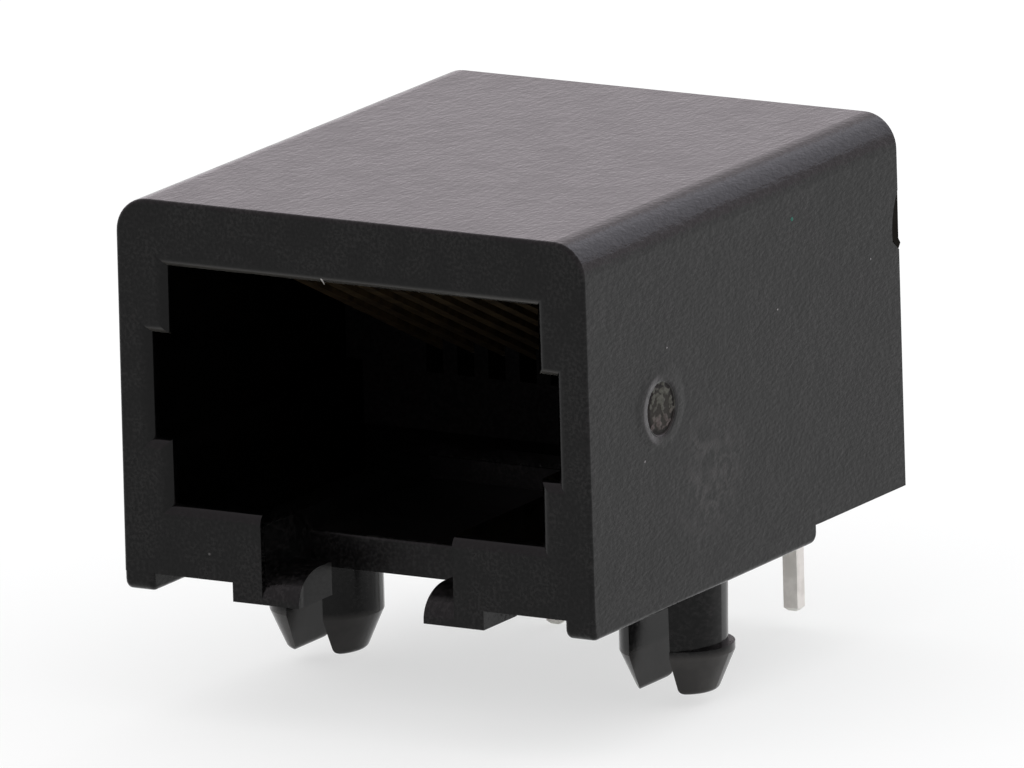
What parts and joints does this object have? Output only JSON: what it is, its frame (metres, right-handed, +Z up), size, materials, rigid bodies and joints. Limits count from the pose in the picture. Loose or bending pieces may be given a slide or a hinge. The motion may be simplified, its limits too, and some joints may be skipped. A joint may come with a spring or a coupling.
{
  "type": "rj45 board jack",
  "caption": "Low-profile right-angle modular jack for a printed board, latch side down, with a stepped plug window, latch catches, split snap-in pegs and sprung contacts with solder tails.",
  "frame": {"origin": "on the board's upper face, midway between the side walls, in the plane of the jack's front face", "axes": "+Z up from the board through the body, +Y back from the plug window to the rear, +X to the right seen from the front"},
  "size_m": [0.0152, 0.0179, 0.0151],
  "materials": {
    "housing_plastic": "fine matt moulding grain, black",
    "carrier_plastic": "plain matt moulding, black",
    "contact_metal": "matt tin over phosphor bronze at the tails, thin gold at the springs"
  },
  "bodies": {
    "root": {"housing": "housing_plastic", "contact_carrier": "carrier_plastic", "contact_1": "contact_metal", "contact_2": "contact_metal", "contact_3": "contact_metal", "contact_4": "contact_metal", "contact_5": "contact_metal", "contact_6": "contact_metal", "contact_7": "contact_metal", "contact_8": "contact_metal"}
  },
  "joints": []
}
